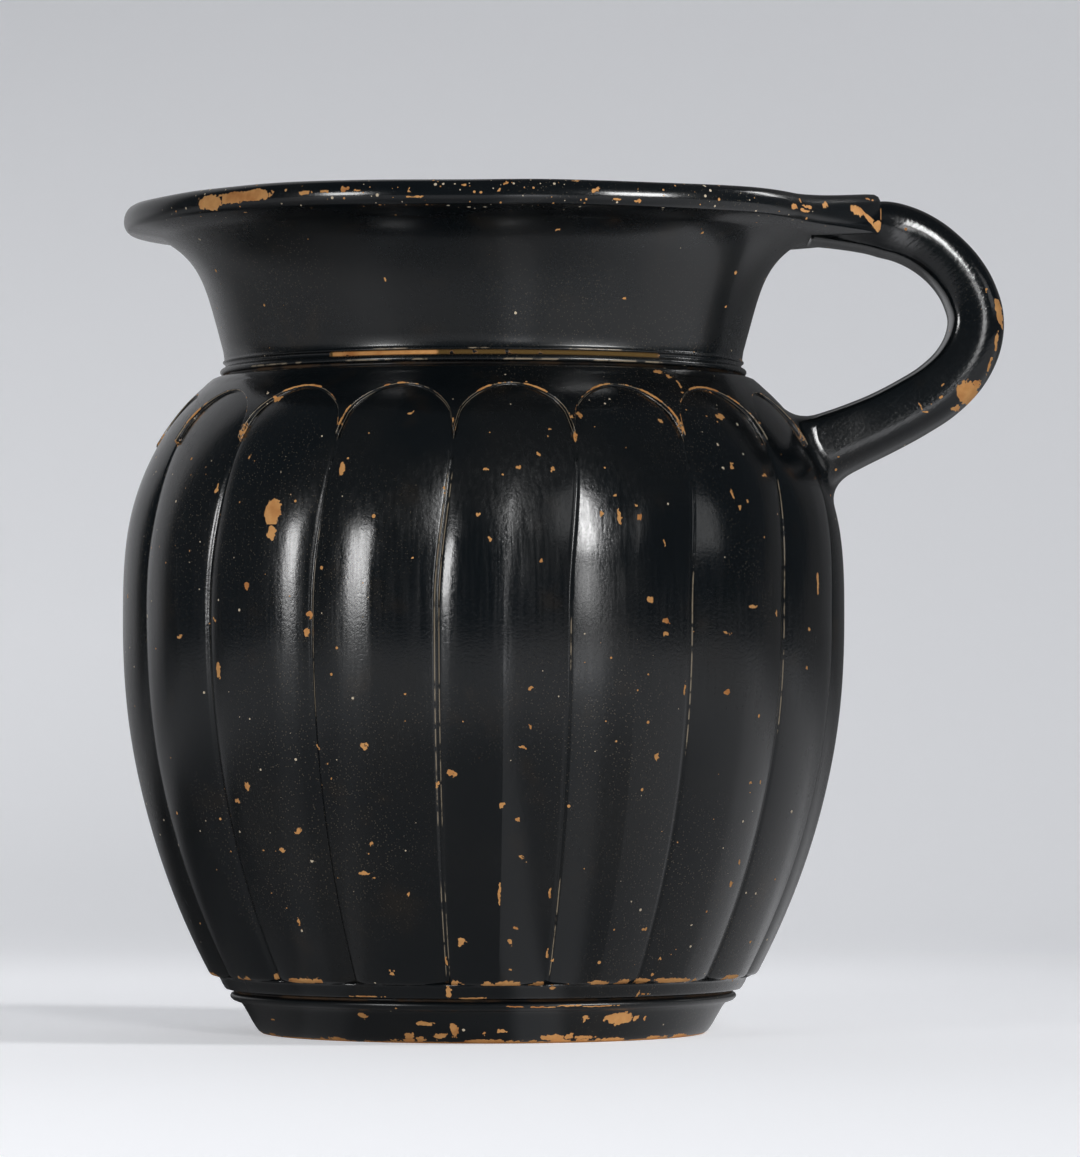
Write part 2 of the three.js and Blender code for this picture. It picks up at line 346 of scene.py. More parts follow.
# Chips in the gloss: angle from the front, height, width, height of the chip
body_chips = (
    (-34.5, 68, 3.2, 4.2), (-34.4, 65.3, 1.6, 2.2), (-38.9, 58.7, 0.9, 1.2), (-42, 75.4, 0.5, 0.6),
    (-48.3, 71.6, 0.6, 1.2), (-23.3, 73.5, 0.9, 2.2), (-12.7, 80.6, 0.7, 0.5), (-27.9, 54.9, 0.7, 1),
    (-28.3, 52.6, 0.6, 1), (-46.6, 54.6, 0.8, 0.6), (-45.7, 48.1, 1.1, 2.8), (-54.8, 52.4, 0.9, 0.5),
    (-18.8, 38.4, 1, 0.8), (-27.3, 38.2, 0.6, 0.6), (-41.3, 33.2, 1.3, 1), (-44.4, 31.3, 1.2, 0.7),
    (-32.3, 27.5, 0.8, 0.6), (-36, 25, 1.3, 0.6), (-40.2, 24.7, 0.7, 0.5), (-20.8, 22.2, 2, 0.6),
    (-13.3, 19.4, 0.8, 0.6), (-18.4, 9.3, 1.1, 0.9), (-48.9, 8.3, 0.8, 1), (-36.1, 15.7, 0.8, 0.8),
    (-25.1, 34, 0.4, 0.4), (-18.9, 25.9, 0.5, 0.5), (32.5, 79.9, 0.8, 0.7), (47, 80.8, 2, 0.9),
    (11.4, 78.5, 0.5, 0.5), (10.9, 77.7, 0.4, 0.4), (8.9, 75.3, 0.8, 0.5), (5.7, 73.5, 1, 0.8),
    (11, 73.4, 0.8, 0.6), (0.3, 73.3, 0.5, 0.5), (3.1, 72.6, 0.4, 0.4), (20, 73.5, 0.4, 0.4),
    (-6.3, 70.8, 0.4, 0.8), (-0.9, 67.6, 0.5, 0.7), (0.9, 64.4, 0.6, 0.6), (22.6, 68.0, 1.5, 0.7), (23.7, 67.9, 1.4, 0.7),
    (24.7, 67.4, 0.9, 0.7), (21.4, 67.4, 0.6, 2.2), (24.3, 68.9, 0.7, 0.5), (20.9, 70, 0.5, 0.5), (18.6, 67.6, 0.5, 1),
    (28.9, 64.3, 0.5, 1), (43.2, 71.7, 0.9, 0.8), (43.3, 70.4, 0.6, 1.3), (44.7, 74.3, 0.9, 0.8),
    (44.2, 68.9, 0.7, 0.5), (46.3, 69.7, 0.6, 0.5), (52.8, 73.3, 1.4, 0.5), (49.3, 65.1, 0.4, 0.4),
    (8.7, 61.8, 0.5, 0.5), (-11, 62.1, 0.4, 0.4), (26.1, 56.8, 1.1, 0.9), (27.5, 53.8, 0.6, 0.6),
    (29, 54.2, 1.2, 0.8), (29.1, 52.6, 0.8, 0.6), (30.1, 52.2, 0.5, 0.5), (40.5, 52.7, 1.2, 0.4),
    (45.8, 56.2, 1.8, 0.6), (52.5, 55.5, 0.7, 0.9), (62, 53.4, 1.6, 0.6), (61.5, 48.5, 0.6, 0.6),
    (65, 59.5, 0.8, 3.3), (40.9, 45.2, 0.8, 0.5), (33.3, 45.7, 0.4, 1.3), (7.2, 45.7, 0.6, 0.6),
    (7.1, 40.9, 0.6, 0.5), (6, 38.1, 0.9, 0.5), (28.5, 36.9, 0.7, 1), (-5.3, 34.9, 1.3, 0.8),
    (-7.5, 33.4, 0.5, 1), (3.1, 30.9, 0.7, 0.7), (5.6, 29, 0.7, 0.5), (6.4, 24.3, 0.7, 0.5),
    (48.5, 33.5, 0.9, 0.5), (49, 32.4, 0.8, 0.4), (51.5, 33.6, 0.6, 0.4), (50.6, 23.2, 0.8, 0.9),
    (49.7, 20.4, 0.8, 0.7), (2.8, 19.4, 0.5, 2.8), (12, 19.8, 0.5, 1.8), (12.6, 11.9, 0.5, 1.5),
    (14, 11, 0.5, 0.5), (5.9, 15.3, 0.7, 0.4), (4.3, 14.7, 0.6, 0.3), (5, 13.3, 1, 1.2),
    (-4.1, 13.4, 1.4, 1.3), (32.1, 14.7, 1, 0.6), (37.5, 11, 0.5, 0.5), (37.3, 8.8, 0.7, 0.8),
    (5.5, 9.8, 0.6, 0.4), (-7.3, 10.9, 0.4, 1.3), (-7.3, 6.9, 1.4, 1.8), (14.5, 7.5, 1.2, 0.5),
    (-41.7, 83, 2, 1), (17, 80.5, 0.7, 0.9), (15.6, 77.6, 0.5, 1.6), (38.0, 86.5, 2, 0.7),
    (39.9, 86.0, 1.3, 0.7), (41.0, 84.9, 0.5, 2.0), (40.3, 83.8, 0.8, 0.6),
    (110, 61, 2.2, 3.1), (128, 44, 1.2, 0.9), (152, 70, 1.6, 1.1), (173, 55, 0.8, 1.2),
    (188, 33, 1.9, 1.0), (201, 66, 2.6, 1.8), (222, 49, 0.9, 1.4), (243, 72, 1.1, 0.8),
    (262, 38, 1.5, 2.1), (283, 58, 0.8, 0.7), (139, 24, 1.1, 0.8), (214, 20, 1.3, 0.7),
    (-26, 6.15, 7.2, 0.22), (-2.3, 6.05, 6, 0.26), (36, 6.3, 3.3, 0.3), (35.3, 6.3, 0.7, 1.3),
)


def chip_distances(places, chip, radius):
    """Distances of points from a chip's middle, in millimetres

    A chip of four numbers lies round the vessel, and its first number is an angle. One of five
    lies on the side of the handle or lip that faces the camera: its first number is a distance
    from the axis, and its last is its turn in degrees.
    """
    up = places[:, 2] / mm - chip[1]
    if len(chip) == 4:
        turns = numpy.degrees(numpy.arctan2(places[:, 0], -places[:, 1])) - chip[0]
        return numpy.radians((turns + 180) % 360 - 180) * radius, up
    across = places[:, 0] / mm - chip[0]
    behind = numpy.where(places[:, 1] > 0, 1e3, 0)
    turn = math.radians(chip[4])
    along = across * math.cos(turn) + up * math.sin(turn)
    return along + behind, up * math.cos(turn) - across * math.sin(turn)


def add_chips(mesh, chips, radius):
    """Gives each corner of a face its place in the nearest chip, in half widths of that chip"""
    places = numpy.empty(len(mesh.vertices) * 3)
    mesh.vertices.foreach_get("co", places)
    places = places.reshape(-1, 3) - numpy.array(axis)
    corners = numpy.empty(len(mesh.loops), dtype=int)
    mesh.loops.foreach_get("vertex_index", corners)
    faces = numpy.repeat(numpy.arange(len(mesh.polygons)), [len(p.vertices) for p in mesh.polygons])
    nearest = numpy.full(len(mesh.polygons), 8.0)
    local = numpy.full((len(corners), 3), 8.0)
    local[:, 2] = 1
    for chip in chips:
        x, y = chip_distances(places, chip, radius)
        x = x[corners] / (chip[2] / 2)
        y = y[corners] / (chip[3] / 2)
        distance = numpy.full(len(mesh.polygons), 1e9)
        numpy.minimum.at(distance, faces, numpy.hypot(x, y))
        closer = distance < nearest
        nearest = numpy.where(closer, distance, nearest)
        taken = closer[faces]
        size = math.sqrt(chip[2] * chip[3])
        local[taken] = numpy.column_stack((x, y, 0 * x + size))[taken]
    layer = mesh.attributes.new("chips", "FLOAT_VECTOR", "CORNER")
    layer.data.foreach_set("vector", local.ravel())


def finished(name, shape, material, node, chips=(), radius=1.0):
    """The finished piece: its mesh, smooth shaded, with its material, in place of its CAD node"""
    bmesh.ops.recalc_face_normals(shape, faces=shape.faces[:])
    mesh = bpy.data.meshes.new(name)
    shape.to_mesh(mesh)
    shape.free()
    mesh.shade_smooth()
    add_chips(mesh, chips, radius)
    mesh.materials.append(material)
    piece = bpy.data.objects.new(name, mesh)
    bpy.context.scene.collection.objects.link(piece)
    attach(piece, "root")
    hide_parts(node)
    return piece


class Nodes:
    """Short ways to add and join shader nodes in a tree"""

    def __init__(self, tree):
        self.tree = tree

    def add(self, kind, **settings):
        node = self.tree.nodes.new(kind)
        for name, value in settings.items():
            setattr(node, name, value)
        return node

    def join(self, source, target):
        self.tree.links.new(source, target)

    def put(self, value, socket):
        """A value or another node's output into a socket"""
        if isinstance(value, bpy.types.NodeSocket):
            self.join(value, socket)
        else:
            socket.default_value = value

    def maths(self, operation, first, second=0.0, third=0.0):
        node = self.add("ShaderNodeMath", operation=operation)
        for value, socket in zip((first, second, third), node.inputs):
            self.put(value, socket)
        return node.outputs[0]

    def noise(self, place, scale, detail=4.0, roughness=0.5):
        node = self.add("ShaderNodeTexNoise")
        self.join(place, node.inputs["Vector"])
        self.put(scale, node.inputs["Scale"])
        node.inputs["Detail"].default_value = detail
        node.inputs["Roughness"].default_value = roughness
        return node.outputs["Fac"]

    def fade(self, value, low, high, to_low=0.0, to_high=1.0):
        node = self.add("ShaderNodeMapRange", interpolation_type="SMOOTHSTEP")
        for item, socket in zip((value, low, high, to_low, to_high), node.inputs):
            self.put(item, socket)
        return node.outputs[0]

    def mix(self, share, first, second):
        node = self.add("ShaderNodeMix", data_type="RGBA")
        self.put(share, node.inputs["Factor"])
        self.put(first, node.inputs["A"])
        self.put(second, node.inputs["B"])
        return node.outputs["Result"]

    def attribute(self, name, output="Fac"):
        return self.add("ShaderNodeAttribute", attribute_name=name).outputs[output]


def new_group(name, inputs, outputs):
    """A shader node group with its named inputs and outputs"""
    group = bpy.data.node_groups.new(name, "ShaderNodeTree")
    for label, kind in inputs:
        group.interface.new_socket(label, in_out="INPUT", socket_type=kind)
    for label, kind in outputs:
        group.interface.new_socket(label, in_out="OUTPUT", socket_type=kind)
    nodes = Nodes(group)
    return group, nodes, nodes.add("NodeGroupInput").outputs, nodes.add("NodeGroupOutput").inputs


# Bare clay: chips, worn edges and a scatter of small specks where the gloss has gone
bare_clay, nodes, given, out = new_group(
    "bare_clay",
    [("Specks", "NodeSocketFloat"), ("Wear", "NodeSocketFloat"), ("Wash", "NodeSocketFloat")],
    [("Mask", "NodeSocketFloat"), ("Color", "NodeSocketColor"), ("Dust", "NodeSocketFloat")],
)
place = nodes.add("ShaderNodeTexCoord").outputs["Object"]
ragged = nodes.noise(place, 2600, detail=3)
chip_place = nodes.add("ShaderNodeSeparateXYZ")
nodes.join(nodes.attribute("chips", "Vector"), chip_place.inputs[0])
chip_size = nodes.maths("MAXIMUM", chip_place.outputs["Z"], 0.6)
bend = nodes.add("ShaderNodeTexNoise")
nodes.join(place, bend.inputs["Vector"])
bend.inputs["Scale"].default_value = 1300
bend.inputs["Detail"].default_value = 2.5
centred = nodes.add("ShaderNodeVectorMath", operation="SUBTRACT")
nodes.join(bend.outputs["Color"], centred.inputs[0])
centred.inputs[1].default_value = (0.5, 0.5, 0.5)
warp = nodes.add("ShaderNodeVectorMath", operation="SCALE")
nodes.join(centred.outputs[0], warp.inputs[0])
nodes.join(nodes.maths("DIVIDE", 3.0, chip_size), warp.inputs["Scale"])
bent = nodes.add("ShaderNodeVectorMath", operation="ADD")
nodes.join(nodes.attribute("chips", "Vector"), bent.inputs[0])
nodes.join(warp.outputs[0], bent.inputs[1])
chip_place = nodes.add("ShaderNodeSeparateXYZ")
nodes.join(bent.outputs[0], chip_place.inputs[0])
chip_reach = nodes.maths("MULTIPLY", chip_place.outputs["X"], chip_place.outputs["X"])
chip_reach = nodes.maths("MULTIPLY_ADD", chip_place.outputs["Y"], chip_place.outputs["Y"], chip_reach)
chip_reach = nodes.maths("SQRT", chip_reach)
ragged_edge = nodes.maths("MULTIPLY", nodes.maths("SUBTRACT", ragged, 0.5), 0.8)
ragged_edge = nodes.maths("DIVIDE", ragged_edge, chip_size)
chip_mask = nodes.fade(nodes.maths("ADD", chip_reach, ragged_edge), 0.86, 0.8)
patchy = nodes.noise(place, 420, detail=4)
edge = nodes.attribute("worn_edge")
edge_wear = nodes.maths("MULTIPLY", edge, nodes.maths("ADD", given["Wear"], nodes.fade(patchy, 0.36, 0.6)))
edge_wear = nodes.maths("ADD", edge_wear, nodes.maths("MULTIPLY", nodes.maths("SUBTRACT", ragged, 0.5), 0.8))
edge_mask = nodes.fade(edge_wear, 0.62, 0.74)
reserved = nodes.maths("MULTIPLY", nodes.attribute("reserved"), nodes.fade(patchy, 0.3, 0.42, 0.3, 1.0))
reserved_mask = nodes.fade(reserved, 0.35, 0.6)
cells = nodes.add("ShaderNodeTexVoronoi", feature="F1")
nodes.join(place, cells.inputs["Vector"])
cells.inputs["Scale"].default_value = 1500
picked = nodes.add("ShaderNodeSeparateColor")
nodes.join(cells.outputs["Color"], picked.inputs[0])
crowd = nodes.noise(place, 38, detail=2)
share = nodes.maths("MULTIPLY_ADD", given["Specks"], nodes.fade(crowd, 0.35, 0.7), nodes.attribute("specks"))
kept = nodes.maths("LESS_THAN", picked.outputs[0], share)
speck_size = nodes.maths("MULTIPLY_ADD", nodes.maths("POWER", picked.outputs[1], 4.0), 0.26, 0.11)
speck = nodes.maths("LESS_THAN", nodes.maths("ADD", cells.outputs["Distance"], nodes.maths("MULTIPLY", nodes.maths("SUBTRACT", ragged, 0.5), 0.12)), speck_size)
speck_mask = nodes.maths("MULTIPLY", kept, speck)
mask = nodes.maths("MAXIMUM", nodes.maths("MAXIMUM", chip_mask, edge_mask), nodes.maths("MAXIMUM", speck_mask, reserved_mask))
nodes.join(mask, out["Mask"])
clay = nodes.mix(nodes.noise(place, 900, detail=5), (0.56, 0.235, 0.06, 1), (0.80, 0.43, 0.16, 1))
clay = nodes.mix(nodes.fade(nodes.noise(place, 260), 0.5, 0.75), clay, (0.48, 0.18, 0.045, 1))
pale = nodes.maths("MULTIPLY", speck_mask, nodes.fade(picked.outputs[2], 0.4, 0.5))
clay = nodes.mix(pale, clay, (0.70, 0.58, 0.42, 1))
washed = nodes.maths("MULTIPLY", given["Wash"], nodes.fade(reserved_mask, 0, 1))
washed = nodes.maths("MULTIPLY", washed, nodes.fade(nodes.attribute("reserved"), 0.95, 0.7))
clay = nodes.mix(washed, clay, (0.11, 0.06, 0.008, 1))
nodes.join(clay, out["Color"])
dots = nodes.add("ShaderNodeTexVoronoi", feature="F1")
nodes.join(place, dots.inputs["Vector"])
dots.inputs["Scale"].default_value = 2600
fine_dust = nodes.fade(dots.outputs["Distance"], 0.24, 0.14)
nodes.join(nodes.maths("MULTIPLY", fine_dust, nodes.fade(crowd, 0.42, 0.72)), out["Dust"])

# Black gloss: brushed on and fired to a dense skin, with wheel lines, small pits and dull patches
gloss_skin, nodes, given, out = new_group(
    "gloss_skin",
    [("Wheel lines", "NodeSocketFloat"), ("Strokes", "NodeSocketFloat"), ("Grain", "NodeSocketFloat"),
     ("Scratches", "NodeSocketFloat"), ("Dull", "NodeSocketFloat")],
    [("Color", "NodeSocketColor"), ("Roughness", "NodeSocketFloat"), ("Height", "NodeSocketFloat")],
)
place = nodes.add("ShaderNodeTexCoord").outputs["Object"]
flat = nodes.add("ShaderNodeMapping")
nodes.join(place, flat.inputs["Vector"])
flat.inputs["Scale"].default_value = (0.12, 0.12, 1)
lines = nodes.noise(flat.outputs["Vector"], 1500, detail=3)
upright = nodes.add("ShaderNodeMapping")
nodes.join(place, upright.inputs["Vector"])
upright.inputs["Scale"].default_value = (1, 1, 0.05)
strokes = nodes.noise(upright.outputs["Vector"], 2200, detail=3)
clouds = nodes.noise(place, 55, detail=5)
pits = nodes.fade(nodes.noise(place, 3400, detail=2), 0.3, 0.42)
grain = nodes.noise(place, 2600, detail=3)
tone = nodes.mix(nodes.fade(clouds, 0.4, 0.7), (0.0034, 0.0052, 0.0066, 1), (0.0078, 0.0085, 0.0088, 1))
tone = nodes.mix(nodes.fade(nodes.noise(place, 140), 0.58, 0.8), tone, (0.013, 0.0105, 0.008, 1))
nodes.join(tone, out["Color"])
rough = nodes.maths("MULTIPLY_ADD", nodes.fade(clouds, 0.35, 0.75), 0.1, given["Dull"])
rough = nodes.maths("MULTIPLY_ADD", nodes.maths("SUBTRACT", grain, 0.5), 0.12, rough)
rough = nodes.maths("MULTIPLY_ADD", nodes.maths("SUBTRACT", strokes, 0.5), nodes.maths("MULTIPLY", given["Strokes"], 0.35), rough)
nodes.join(rough, out["Roughness"])
height = nodes.maths("MULTIPLY_ADD", lines, given["Wheel lines"], nodes.maths("MULTIPLY", pits, 0.25))
height = nodes.maths("MULTIPLY_ADD", grain, given["Grain"], height)
slanting = nodes.add("ShaderNodeMapping", vector_type="TEXTURE")
nodes.join(place, slanting.inputs["Vector"])
slanting.inputs["Rotation"].default_value = (0, math.radians(50), 0)
slanting.inputs["Scale"].default_value = (1, 1, 9)
scratches = nodes.noise(slanting.outputs["Vector"], 1900, detail=3)
height = nodes.maths("MULTIPLY_ADD", scratches, given["Scratches"], height)
height = nodes.maths("MULTIPLY_ADD", strokes, given["Strokes"], height)
nodes.join(height, out["Height"])


def black_gloss(name, specks, wear, wheel_lines, dull, strokes=0.0, grain=0.35, scratches=0.0,
                wash=0.0):
    """Black-gloss material with its clay showing through, for one piece"""
    material = bpy.data.materials.new(name)
    material.use_nodes = True
    nodes = Nodes(material.node_tree)
    shader = material.node_tree.nodes["Principled BSDF"]
    worn = nodes.add("ShaderNodeGroup", node_tree=bare_clay)
    worn.inputs["Specks"].default_value = specks
    worn.inputs["Wear"].default_value = wear
    worn.inputs["Wash"].default_value = wash
    skin = nodes.add("ShaderNodeGroup", node_tree=gloss_skin)
    skin.inputs["Wheel lines"].default_value = wheel_lines
    skin.inputs["Dull"].default_value = dull
    skin.inputs["Strokes"].default_value = strokes
    skin.inputs["Grain"].default_value = grain
    skin.inputs["Scratches"].default_value = scratches
    valley = nodes.attribute("valley")
    place = nodes.add("ShaderNodeTexCoord").outputs["Object"]
    # Pale lines from the valley attribute, partly wear and partly painted glints, and fine dust are mixed into the
    # gloss as a pale colour
    broken = nodes.fade(nodes.noise(place, 700), 0.36, 0.5)
    dust_and_glint = nodes.maths("MULTIPLY", nodes.fade(valley, 0.35, 0.85), broken)
    dust_and_glint = nodes.maths("MAXIMUM", dust_and_glint, nodes.maths("MULTIPLY", worn.outputs["Dust"], 0.3))
    colour = nodes.mix(nodes.maths("MULTIPLY", dust_and_glint, 0.8), skin.outputs["Color"], (0.36, 0.29, 0.20, 1))
    nodes.join(nodes.mix(worn.outputs["Mask"], colour, worn.outputs["Color"]), shader.inputs["Base Color"])
    rough = nodes.maths("MULTIPLY_ADD", nodes.attribute("polish"), -0.1, skin.outputs["Roughness"])
    rough = nodes.fade(worn.outputs["Mask"], 0, 1, rough, 0.85)
    nodes.join(rough, shader.inputs["Roughness"])
    nodes.join(nodes.fade(worn.outputs["Mask"], 0, 1, 0.35, 0), shader.inputs["Coat Weight"])
    shader.inputs["Coat Roughness"].default_value = 0.12
    shader.inputs["IOR"].default_value = 1.5
    bump = nodes.add("ShaderNodeBump")
    bump.inputs["Strength"].default_value = 0.35
    bump.inputs["Distance"].default_value = 0.00003
    lowered = nodes.maths("MULTIPLY_ADD", worn.outputs["Mask"], -2.2, skin.outputs["Height"])
    nodes.join(lowered, bump.inputs["Height"])
    nodes.join(bump.outputs["Normal"], shader.inputs["Normal"])
    return material


body_gloss = black_gloss("body_black_gloss", specks=0.06, wear=0.3, wheel_lines=0.1, dull=0.15,
                         strokes=1.0, grain=1.6)
for edge in body_shape.edges:
    crest = [vertex[crest_layer] for vertex in edge.verts]
    edge.smooth = min(crest) < 0.5
body = finished("ribbed_body", body_shape, body_gloss, "body", body_chips,
         radius=belly_radius)


# Neck: thrown separately as a flaring collar with a turned ridge at its foot and a rolled lip.
# A narrow line under the neck was left free of gloss and shows the clay.
neck_low, neck_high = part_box("neck")
neck_bottom = neck_low.z / mm
lip_height = neck_high.z / mm
lip_radius = (neck_high.x - neck_low.x) / 2 / mm
neck_foot = neck_bottom + 1.7
neck_radius = 34.4
neck_taper = 4.6
lip_roll_width = 4.0
lip_roll_height = 3.5
lip_bluntness = 0.62
lip_underside = lip_height - lip_roll_height
neck_flare = lip_radius - lip_roll_width - neck_radius - neck_taper
neck_flare_power = 6
mouth_flare_power = 4
neck_rows = 34
mouth_rows = 24
turned_columns = 360
column_crowding = 0.55
tongue_end = 52.9
tongue_rise = 1.9
tongue_sag = 0.2
tongue_half_turn = 7.4
tongue_root_turn = 30.0
lip_sag = 0.5
lip_waves = ((-32, 0.33, 16), (50, 0.35, 24))


def neck_radius_at(share):
    return neck_radius + neck_taper * share + neck_flare * share ** neck_flare_power


def mouth_radius_at(share):
    return mouth_radius + neck_taper * share + neck_flare * share ** mouth_flare_power


def drawn_lip(radius, height, degrees):
    """How far the lip is drawn out and up over the handle, in millimetres"""
    sag = lip_sag * smooth_rise(-58, -20, -abs(degrees - 90))
    aside = max(0, abs(degrees - 90) - tongue_half_turn) / (tongue_root_turn - tongue_half_turn)
    aside = min(1, aside)
    end = tongue_end / math.cos(math.radians(min(abs(degrees - 90), tongue_half_turn)))
    reach = (end - lip_radius) * (1 - aside) ** 1.7
    full = (1 - aside) ** 1.5
    if height > roll_height - 2.2 and radius > roll_radius - 2.3:
        around = math.atan2(height - roll_height, radius - roll_radius)
        out = smooth_rise(-math.radians(160), -math.radians(40), -abs(around))
        lift = tongue_rise * max(0, math.sin(around)) - tongue_sag * max(0, -math.sin(around))
        nose = max(0, math.cos(around))
        blunt = lip_roll_width / 2 * (nose ** 0.5 - nose)
        return reach * out + full * blunt, full * out * lift - sag * max(0, 0.15 - math.sin(around))
    share = (height - neck_foot) / (lip_underside - neck_foot)
    inside = radius < (neck_radius_at(share) + mouth_radius_at(share)) / 2
    return 0 if inside else reach * smooth_rise(0.93, 1.05, share), 0


neck_profile = [(34.75, 0.0), (35.02, 0.08), (35.16, 0.3), (35.14, 0.55), (34.98, 0.75),
                (34.72, 0.9), (34.54, 0.98), (34.46, 1.15), (34.48, 1.42), (34.62, 1.52),
                (34.74, 1.58), (34.8, 1.66), (34.79, 1.76), (34.7, 1.84), (34.62, 1.94), (34.6, 2.2)]
neck_profile = [(radius, neck_bottom + rise) for radius, rise in neck_profile]
for step in range(3, neck_rows):
    share = step / neck_rows
    neck_profile.append((neck_radius_at(share), between(neck_foot, lip_underside, share)))
roll_radius = lip_radius - lip_roll_width / 2
roll_height = lip_height - lip_roll_height / 2 - 0.2
for step in range(19):
    turn = math.radians(between(-58, 172, step / 18))
    half = 1.95 if turn > 0 else 1.55
    bulge = max(0, math.cos(turn)) ** lip_bluntness + min(0, math.cos(turn))
    neck_profile.append((
        roll_radius + lip_roll_width / 2 * bulge,
        roll_height + half * math.sin(turn),
    ))
for step in range(1, mouth_rows + 1):
    share = between(0.95, 0, step / mouth_rows)
    neck_profile.append((mouth_radius_at(share), between(neck_foot, lip_underside, share)))
neck_profile.append((mouth_radius, neck_bottom))
neck_profile.append(neck_profile[0])

neck_shape = spun_shape(neck_profile, turned_columns)
worn_layer = neck_shape.verts.layers.float.new("worn_edge")
reserved_layer = neck_shape.verts.layers.float.new("reserved")
pale_line_and_glint_layer = neck_shape.verts.layers.float.new("valley")
speck_layer = neck_shape.verts.layers.float.new("specks")
polish_layer = neck_shape.verts.layers.float.new("polish")
worn_lip = ((100, 122), (170, 196), (230, 262))
open_groove = ((-34.5, -9.5), (150, 170), (240, 255))
washed_groove = ((-9.5, 41), (170, 205))
neck_lines = ((-24, -16), (-3, 1), (18.5, 31), (140, 165), (220, 232))
seam_lines = ((-60, -42), (-31, -20), (-15, -11), (4, 16), (24, 41), (120, 144), (190, 230))
for vertex in neck_shape.verts:
    radius = math.hypot(vertex.co.x, vertex.co.y)
    turn = math.atan2(vertex.co.y, vertex.co.x)
    degrees = 90 + math.degrees(turn - column_crowding * math.sin(turn))
    degrees -= 360 if degrees > 180 else 0
    height = vertex.co.z
    outside = radius > neck_radius_at(0) - 0.1
    rise = height - neck_bottom
    in_groove = smooth_rise(0.86, 1.0, rise) * smooth_rise(-1.58, -1.46, -rise)
    bare = max(in_stretches(open_groove, degrees), 0.66 * in_stretches(washed_groove, degrees))
    vertex[reserved_layer] = in_groove * max(0.25, bare) if outside else 0
    # The pale line along the small edge above the groove is partly wear and partly a painted highlight where that edge
    # catches the light
    line = math.exp(-((rise - 1.72) / 0.1) ** 2) * in_stretches(neck_lines, degrees)
    seam = math.exp(-((rise - 0.3) / 0.12) ** 2) * in_stretches(seam_lines, degrees)
    vertex[pale_line_and_glint_layer] = max(line, seam) if outside else 0
    on_roll = smooth_rise(106.4, 107.2, height) if radius > roll_radius - 1.5 else 0
    pitted = max(0.75 * in_stretches(((-18, 13),), degrees), 0.32 * in_stretches(((-62, 64), (200, 260)), degrees))
    vertex[speck_layer] = on_roll * pitted
    vertex[polish_layer] = on_roll
    edge_of_lip = math.exp(-((height - 109.2) / 0.5) ** 2) if radius > roll_radius else 0
    vertex[worn_layer] = edge_of_lip * 0.8 * in_stretches(worn_lip, degrees)
    sway = wobble(degrees, height, 0.12) - 0.05 if height > neck_bottom + 3 else 0
    dip = 0.12 * noise.noise(Vector((3 * math.sin(math.radians(degrees)), 3 * math.cos(math.radians(degrees)), 5)))
    dip += sum(size * math.exp(-((degrees - at) / width) ** 2) for at, size, width in lip_waves)
    drop = (dip - 0.1) * smooth_rise(neck_foot, lip_underside, height)
    drawn, raised = drawn_lip(radius, height, degrees)
    vertex.co = placed(radius + sway + drawn, degrees, height + drop + raised)

neck_chips = (
    (-47.0, 108.1, 5.4, 2.4), (-42.2, 108.45, 6.0, 1.9), (-37.8, 108.6, 7.0, 1.8),
    (-28.2, 108.5, 2.2, 0.6), (-25, 108.55, 3.4, 0.35), (-21.9, 108.8, 1.1, 0.8), (-19.6, 108.6, 1.6, 0.25),
    (-11.4, 108.2, 0.5, 0.9), (-10.4, 107.6, 1.8, 0.3), (-2.9, 109.1, 0.9, 0.7), (2.4, 108.3, 0.5, 0.7),
    (3.6, 109.3, 0.9, 0.6), (17, 108.6, 1.3, 0.8), (14.3, 109.8, 0.7, 0.4), (20.6, 107.4, 0.8, 0.35),
    (24, 107.4, 0.8, 0.5), (57, 108.2, 1.8, 0.7), (60.5, 107.9, 2.6, 0.6), (59, 109, 0.6, 0.5),
    (49.2, 108.8, 2.2, 1.3, -18), (51.1, 107.9, 4.0, 0.8, -38), (52.2, 107.2, 1.8, 1.6, -30),
    (52.85, 108.9, 0.3, 2.8, 0), (51.0, 110.55, 1.6, 0.3, 0), (44.6, 109.0, 1.0, 0.7, -10),
    (42.1, 108.4, 1.6, 0.5, -5), (13.3, 104.1, 0.8, 0.3), (61.5, 100.2, 1, 0.6), (30, 95.8, 0.6, 0.3),
    (61.5, 95.9, 0.5, 0.5), (118, 108.3, 4, 1.2), (182, 108.6, 3.2, 1), (246, 108.4, 5.2, 1.1),
    (-20, 98, 0.4, 0.4), (44, 104.5, 0.5, 0.4),
)
neck_gloss = black_gloss("neck_black_gloss", specks=0.03, wear=0.1, wheel_lines=0.7, dull=0.25,
                         wash=1.0)
neck = finished("flared_neck", neck_shape, neck_gloss, "neck", neck_chips, radius=46.0)


# Foot: a turned ring with a moulding at its top, luted under the body. Its lower edge has worn
# to the clay from standing.
foot_profile = [(24.2, 0.35), (24.5, 0.0), (29.1, 0.0), (29.5, 0.08), (29.9, 0.35), (30.25, 0.8),
                (30.7, 1.5), (31.15, 2.3), (31.6, 3.1), (32.0, 3.75), (32.3, 4.12), (32.5, 4.25),
                (32.9, 4.32), (33.35, 4.5), (33.65, 4.8), (33.72, 5.05), (33.62, 5.3),
                (33.4, 5.45), (33.1, 5.5), (23.3, 5.5), (23.4, 5.2), (23.8, 2.6)]
foot_profile.append(foot_profile[0])
foot_shape = spun_shape(foot_profile, turned_columns)
worn_layer = foot_shape.verts.layers.float.new("worn_edge")
reserved_layer = foot_shape.verts.layers.float.new("reserved")
worn_foot = ((-46, 66), (90, 110), (140, 160), (200, 240), (280, 300))
